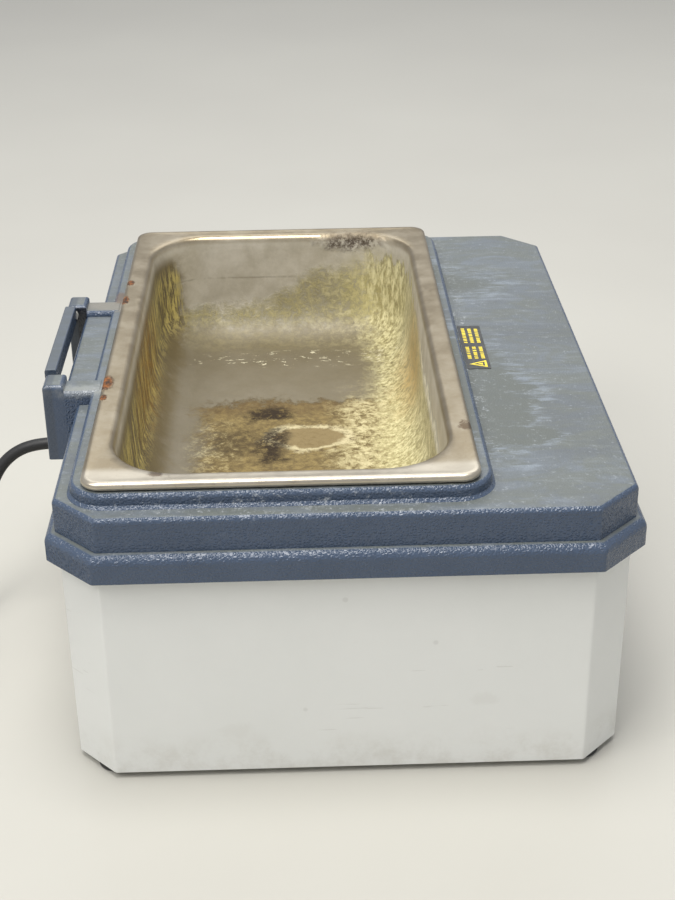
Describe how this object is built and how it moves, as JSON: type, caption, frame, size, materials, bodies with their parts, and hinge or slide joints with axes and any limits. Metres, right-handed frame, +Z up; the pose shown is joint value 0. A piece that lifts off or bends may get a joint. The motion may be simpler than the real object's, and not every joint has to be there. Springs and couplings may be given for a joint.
{
  "type": "water bath",
  "caption": "Bench-top laboratory water bath: rectangular steel pan in a plastic cover on an octagonal sheet-metal housing, with lid hinge, dials and mains lead.",
  "frame": {"origin": "centre of the housing's plan, on the surface that the feet stand on", "axes": "+Z up; +X towards the front with the controls; +Y along the pan's long side; -X towards the lid hinge and the mains lead"},
  "size_m": [0.4482, 0.3574, 0.1528],
  "materials": {
    "housing_paint": "light grey powder coat, satin, lightly scratched",
    "cover_plastic": "slate-blue moulded plastic with a fine leather grain",
    "pan_steel": "drawn stainless steel with scale and rust marks",
    "zinc_steel": "bright zinc plating",
    "foot_rubber": "matte black rubber",
    "gasket_rubber": "black foam rubber",
    "fibre_wrap": "off-white mineral fibre",
    "silicone": "orange-brown silicone",
    "sheet_aluminium": "mill finish",
    "copper": "dull drawn copper",
    "phenolic": "dark brown moulding",
    "fascia_plastic": "dark blue-grey, fine grain, pale dial marks",
    "knob_plastic": "black, semi-gloss",
    "switch_plastic": "black",
    "rocker_plastic": "black with plain pale marks",
    "amber_lens": "clear amber lens",
    "red_lens": "clear red lens",
    "terminal_plastic": "cream moulding",
    "wire_insulation": "black insulation",
    "brass": "dull brass",
    "plate_aluminium": "satin plate without any lettering",
    "label_film": "black film with plain yellow marks and no lettering",
    "button_plastic": "red",
    "cord_rubber": "black jacket",
    "tie_plastic": "black hook-and-loop strap",
    "nylon": "natural nylon"
  },
  "bodies": {
    "housing": {"bath_pan": "pan_steel", "bottom_plate": "zinc_steel", "bottom_screws": "zinc_steel", "breaker_body": "switch_plastic", "breaker_nut": "zinc_steel", "bulb_clips": "zinc_steel", "caution_label": "label_film", "control_bulb": "copper", "control_capillary": "copper", "control_fascia": "fascia_plastic", "control_thermostat": "phenolic", "cord_bushing": "cord_rubber", "cord_coil": "cord_rubber", "cord_tail": "cord_rubber", "cord_tie": "tie_plastic", "cover_screws": "zinc_steel", "fascia_screws": "zinc_steel", "foot_nuts": "zinc_steel", "foot_screws": "zinc_steel", "ground_nut": "brass", "ground_stud": "brass", "heat_shield": "sheet_aluminium", "heater_lamp": "amber_lens", "heater_leads": "silicone", "heater_mat": "silicone", "heater_plate": "sheet_aluminium", "hinge_pins": "zinc_steel", "hinge_washers": "nylon", "inner_mains_wires": "wire_insulation", "limit_bulb": "copper", "limit_capillary": "copper", "limit_lamp": "red_lens", "limit_thermostat": "phenolic", "lower_housing": "housing_paint", "pan_gasket": "gasket_rubber", "pan_insulation": "fibre_wrap", "pan_straps": "zinc_steel", "plate_rivets": "plate_aluminium", "plug_body": "cord_rubber", "plug_pins": "brass", "power_cord": "cord_rubber", "rating_plate": "plate_aluminium", "rubber_feet": "foot_rubber", "strain_relief": "cord_rubber", "strap_screws": "zinc_steel", "switch_body": "switch_plastic", "switch_leads": "wire_insulation", "terminal_block": "terminal_plastic", "terminal_screws": "brass", "thermostat_screws": "zinc_steel", "top_cover": "cover_plastic"},
    "lid_hinge": {"hinge_bar": "cover_plastic"},
    "rocker": {"switch_rocker": "rocker_plastic"},
    "temperature_dial": {"temperature_knob": "knob_plastic", "temperature_spindle": "zinc_steel"},
    "limit_dial": {"limit_knob": "knob_plastic", "limit_spindle": "zinc_steel"},
    "breaker_reset": {"breaker_button": "button_plastic"}
  },
  "joints": [
    {"name": "lid_hinge_turn", "type": "hinge", "parent": "housing", "child": "lid_hinge", "pos_m": [-0.1432, 0, 0.147], "axis": [0, -1, 0], "range_deg": [0, 100]},
    {"name": "rocker_tilt", "type": "hinge", "parent": "housing", "child": "rocker", "pos_m": [0.1295, -0.084, 0.06], "axis": [0, -1, 0], "range_deg": [0, 18]},
    {"name": "temperature_turn", "type": "hinge", "parent": "housing", "child": "temperature_dial", "pos_m": [0.129, 0.022, 0.062], "axis": [-1, 0, 0], "range_deg": [0, 270]},
    {"name": "limit_turn", "type": "hinge", "parent": "housing", "child": "limit_dial", "pos_m": [0.129, 0.084, 0.062], "axis": [-1, 0, 0], "range_deg": [0, 240]},
    {"name": "breaker_pop", "type": "slide", "parent": "housing", "child": "breaker_reset", "axis": [-1, 0, 0], "range_m": [0, 0.004]}
  ]
}
